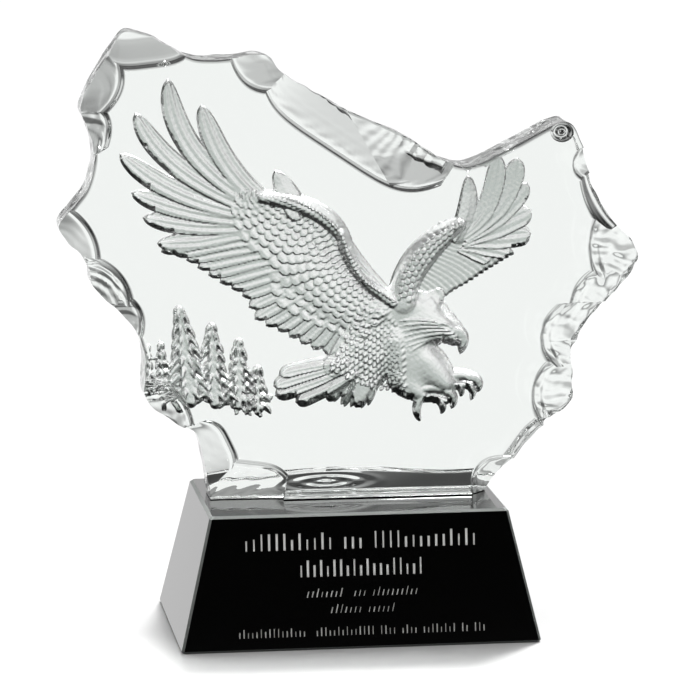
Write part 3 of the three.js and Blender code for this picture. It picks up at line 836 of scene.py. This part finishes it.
def engraved_frost():
    """Sand-blasted strokes, matt and light grey against the polish."""
    made, tree, shader = material("sandblasted_strokes")
    shader_values(shader, Base_Color=linear("#D4D4D2"), Roughness=0.8, IOR=1.5)
    place = node(tree, "ShaderNodeTexCoord")
    grit = node(tree, "ShaderNodeTexNoise", {"Scale": 3000.0}, Vector=place.outputs["Object"])
    bump = node(tree, "ShaderNodeBump", {"Strength": 0.3, "Distance": 0.00005}, Height=grit.outputs["Fac"])
    tree.links.new(bump.outputs["Normal"], shader.inputs["Normal"])
    return made


# Pieces


def face_vectors(mesh, name):
    """The normal or center of every face, as an (n, 3) array."""
    values = np.zeros(len(mesh.polygons) * 3)
    mesh.polygons.foreach_get(name, values)
    return values.reshape(-1, 3)


def repaint(mesh, where, slot, only=None):
    """Gives the faces where the mask is true another material slot, or only those of one slot."""
    slots = np.zeros(len(mesh.polygons), np.int32)
    mesh.polygons.foreach_get("material_index", slots)
    slots[where if only is None else where & (slots == only)] = slot
    mesh.polygons.foreach_set("material_index", slots)


def shade(made, angle, flat_axis=None):
    """Smooth shading with edges over `angle` degrees kept sharp; faces square to the flat axis
    stay flat, so that the big polished faces don't act as lenses."""
    mesh = made.data
    mesh.polygons.foreach_set("use_smooth", np.ones(len(mesh.polygons), bool))
    mesh.set_sharp_from_angle(angle=math.radians(angle))
    if flat_axis is not None:
        level = np.abs(face_vectors(mesh, "normal")[:, flat_axis]) > 0.99999
        mesh.polygons.foreach_set("use_smooth", ~level)


CLEAR, FROSTED, GLUED, PAINTED_SHADE_WALLS = range(4)


def make_plaque():
    """Slab, less flakes, dimple, cove and relief, in clear crystal with a frosted relief. The
    relief's walls at its lower rims, whose normals rise, are painted shade: a copy of the frost that
    lets less through than the rest."""
    finishes = [clear_crystal(), frost_with_painted_shade("satin_frost_painted_shade", 0.8), glued_foot(),
                frost_with_painted_shade("satin_frosted_walls_painted_shade", 0.1)]
    made = slab()
    made.name = "eagle_plaque"
    for finish in finishes:
        made.data.materials.append(finish)
    cutters = [flake(k, **settings) for k, settings in enumerate(FLAKES)]
    cutters += [dimple(at=[76.8, 132], width=8.5, height=7.2, depth=3.4, rings=1.7, swell=0.9), cove()]
    for cutter in cutters:
        cutter.data.materials.append(finishes[CLEAR])
    hollow = relief_solid()
    hollow.data.materials.append(finishes[FROSTED])
    cut(made, cutters + [hollow])
    shade(made, 40, flat_axis=1)
    mesh = made.data
    repaint(mesh, face_vectors(mesh, "center")[:, 2] < (FOOT_Z + 0.05) * MM, GLUED)
    # Painted shade: the lower walls take the darker copy of the frost
    repaint(mesh, face_vectors(mesh, "normal") @ [FALL_ASIDE, 0, 1] > LOWER_WALL, PAINTED_SHADE_WALLS, only=FROSTED)
    return made


ENGRAVED_ROWS = [
    dict(at=0.8, length=82, tall=5.9, strokes=31, gaps=[12, 16], lean=0),
    dict(at=0.6, length=43, tall=5.9, strokes=19, gaps=[], lean=0),
    dict(at=0.42, length=39, tall=3.0, strokes=24, gaps=[8, 9, 13], lean=0.25),
    dict(at=0.3, length=22, tall=3.0, strokes=14, gaps=[7], lean=0.25),
    dict(at=0.135, length=88, tall=3.0, strokes=58, gaps=[16, 17, 32, 37, 42, 51, 54], lean=0),
]


def engraved_row(number, at, length, tall, strokes, gaps, lean):
    """The corners of a row of sunken upright strokes of uneven height, none of them a letter: an
    (n, 8, 3) array of boxes that stand in the sloping front of the base."""
    draw = np.random.default_rng(60 + number)
    boxes = []
    for k in range(strokes):
        tallness = tall * draw.choice([0.62, 0.7, 1.0])
        thick = draw.choice([0.38, 0.55]) * tall / 4
        if k in gaps:
            continue
        x = (k / (strokes - 1) - 0.5) * length
        dx = thick / 2 * np.array([-1, 1, 1, -1] * 2)
        dz = tallness * np.array([0, 0, 1, 1] * 2)
        z = at * BASE_HEIGHT - tall / 2 + dz
        front = -(BASE_TOP[1] / 2 + BASE_SPREAD[1] * (1 - z / BASE_HEIGHT))
        depth = np.repeat([-1.0, STROKE_DEPTH], 4)
        boxes.append(np.stack([x + dx + lean * dz, front + depth, z], 1))
    return np.array(boxes)


def engraving():
    """All rows of strokes as one cutter."""
    boxes = np.concatenate([engraved_row(k, **row) for k, row in enumerate(ENGRAVED_ROWS)])
    sides = np.array([[0, 1, 2, 3], [7, 6, 5, 4], [0, 4, 5, 1], [1, 5, 6, 2], [2, 6, 7, 3], [3, 7, 4, 0]])
    faces = (8 * np.arange(len(boxes))[:, None, None] + sides).reshape(-1, 4)
    made = new_object("strokes", boxes.reshape(-1, 3), faces.tolist())
    outwards(made)
    return made


def make_base():
    """A truncated pyramid with chamfers on its edges, painted pale grey as a highlight, less the engraving.
    """
    c = BASE_CHAMFER
    rings = []
    for z, inset in ((0, c), (c, 0), (BASE_HEIGHT - c, 0), (BASE_HEIGHT, c)):
        x, y = BASE_TOP / 2 + BASE_SPREAD * (1 - z / BASE_HEIGHT) - inset
        right = [[x, c - y, z], [x, y - c, z], [x - c, y, z]]
        left = [[c - x, y, z], [-x, y - c, z], [-x, c - y, z], [c - x, -y, z]]
        rings.append(right + left + [[x - c, -y, z]])
    count = len(rings[0])
    ends = np.arange(count)
    faces = grid_faces(len(rings), count, wrap=True).tolist()
    faces += [ends[::-1].tolist(), (ends + (len(rings) - 1) * count).tolist()]
    made = new_object("glass_base", np.array(rings).reshape(-1, 3), faces)
    outwards(made)
    frost = engraved_frost()
    made.data.materials.append(black_glass())
    made.data.materials.append(frost)
    strokes = engraving()
    strokes.data.materials.append(frost)
    cut(made, [strokes])
    mesh = made.data
    # Painted highlight: the chamfers are painted a pale grey
    mesh.materials.append(painted_highlight_edge())
    highlight_chamfers = np.abs(face_vectors(mesh, "normal")).max(1) < 0.9
    repaint(mesh, highlight_chamfers, len(mesh.materials) - 1, only=0)
    return made


plaque = make_plaque()
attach(plaque, "root")
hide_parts("crystal_plaque")

# Clear crystal throws hardly any shadow: the one on the floor is the base's
plaque.visible_shadow = False

base = make_base()
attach(base, "root")
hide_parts("black_base")


# Studio


def band(tree, angle, low, high, at_low, at_high):
    """A smooth step of an angle's factor from `at_low` to `at_high` between `low` and `high`
    degrees, given in either order."""
    if low > high:
        low, high, at_low, at_high = high, low, at_high, at_low
    return node(tree, "ShaderNodeMapRange", {
        "From Min": math.radians(low), "From Max": math.radians(high), "To Min": at_low, "To Max": at_high,
        "interpolation_type": "SMOOTHSTEP"}, Value=angle).outputs["Result"]


def away(tree, angle, centre):
    """How far an angle is from a centre given in degrees."""
    return maths(tree, "ABSOLUTE", maths(tree, "SUBTRACT", angle, math.radians(centre)))


def product(tree, factors):
    """The product of a list of factors."""
    total = factors[0]
    for factor in factors[1:]:
        total = maths(tree, "MULTIPLY", total, factor)
    return total


def pale_floor():
    """A pale floor that takes the shadow. The glass neither mirrors nor refracts it."""
    half = 6.0
    mesh = bpy.data.meshes.new("floor")
    corners = [(-half, -half, 0), (half, -half, 0), (half, half, 0), (-half, half, 0)]
    mesh.from_pydata(corners, [], [(0, 1, 2, 3)])
    made = bpy.data.objects.new("floor", mesh)
    bpy.context.scene.collection.objects.link(made)
    pale, _, shader = material("pale_floor")
    shader_values(shader, Base_Color=linear("#BCBCBC"), Roughness=0.9)
    mesh.materials.append(pale)
    made.visible_transmission = False
    made.visible_glossy = False


def light_panels():
    """Bright-field light for the glass: panels in a dark room, each the product of its bands. The
    camera itself sees white."""
    world = bpy.data.worlds.new("studio")
    bpy.context.scene.world = world
    world.use_nodes = True
    tree = world.node_tree
    background = tree.nodes["Background"]
    way = node(tree, "ShaderNodeTexCoord")
    split = node(tree, "ShaderNodeSeparateXYZ", Vector=way.outputs["Generated"])
    azimuth = maths(tree, "ARCTAN2", split.outputs["X"], split.outputs["Y"])
    aside = away(tree, azimuth, -2.0)
    rise = maths(tree, "ARCSINE", split.outputs["Z"])

    # Where the flat front face would mirror a panel to the camera, the room is left dark
    mirrored = [band(tree, away(tree, azimuth, 172), 6, 10, 1.0, 0.0),
                band(tree, away(tree, rise, -9.8), 6, 9, 1.0, 0.0)]
    spared = maths(tree, "SUBTRACT", 1.0, product(tree, mirrored))
    behind = [band(tree, aside, 15, 27, 1.0, 0.5), band(tree, aside, 28, 44, 1.0, 0.05),
              band(tree, rise, -12.5, -24, 1.0, 0.52), band(tree, rise, -27, -42, 1.0, 0.04),
              band(tree, rise, -3, 9, 1.08, 0.31)]
    strip_above = [band(tree, rise, 7, 10, 0.0, 0.75), band(tree, rise, 17, 21, 1.0, 0.0),
                   band(tree, aside, 14, 24, 1.0, 0.0)]
    beside = [band(tree, aside, 38, 50, 0.0, 0.8), band(tree, aside, 78, 95, 1.0, 0.0),
              band(tree, rise, -36, -28, 0.0, 1.0), band(tree, rise, -12, -4, 1.0, 0.0)]
    in_front = [band(tree, aside, 112, 124, 0.0, 0.85), band(tree, rise, -22, -14, 0.0, 1.0),
                band(tree, rise, -4, 4, 1.0, 0.0), spared]
    low_in_front = [band(tree, aside, 110, 140, 0.0, 0.95), band(tree, rise, -45, -25, 0.0, 1.0),
                    band(tree, rise, -22, -15, 1.0, 0.0)]
    overhead = [band(tree, rise, 14, 42, 0.0, 1.0), band(tree, rise, 55, 80, 1.0, 0.75),
                band(tree, aside, 75, 105, 0.85, 1.15)]
    total = 0.0
    for panel in (behind, strip_above, beside, in_front, low_in_front, overhead):
        total = maths(tree, "ADD", total, product(tree, panel))
    path = node(tree, "ShaderNodeLightPath")
    seen = maths(tree, "MAXIMUM", total, path.outputs["Is Camera Ray"])
    tree.links.new(seen, background.inputs["Strength"])
    background.inputs["Color"].default_value = (1, 1, 1, 1)


def lamp():
    """A wide soft lamp up behind the object, for the shadow in front of the base. The glass
    doesn't mirror it."""
    data = bpy.data.lights.new("lamp", "SUN")
    data.energy = 6.0
    data.angle = math.radians(14)
    made = bpy.data.objects.new("lamp", data)
    bpy.context.scene.collection.objects.link(made)
    made.visible_glossy = False
    made.rotation_euler = Vector((-0.36, -0.85, -1.0)).to_track_quat("-Z", "Y").to_euler()


def camera():
    """The photograph's view: from 8.1 degrees left of the front and 9.8 degrees above."""
    data = bpy.data.cameras.new("camera")
    data.lens = 205.7
    data.sensor_width = 36
    data.clip_end = 50
    made = bpy.data.objects.new("camera", data)
    bpy.context.scene.collection.objects.link(made)
    place = Vector((-0.20018, -1.41495, 0.34677))
    target = Vector((0.00135, 0, 0.1009))
    made.location = place
    made.rotation_euler = (target - place).to_track_quat("-Z", "Y").to_euler()
    bpy.context.scene.camera = made


camera()
pale_floor()
light_panels()
lamp()
bpy.context.scene.view_settings.view_transform = "Standard"
bpy.context.scene.cycles.max_bounces = 24
bpy.context.scene.cycles.transmission_bounces = 24
bpy.context.scene.cycles.glossy_bounces = 8
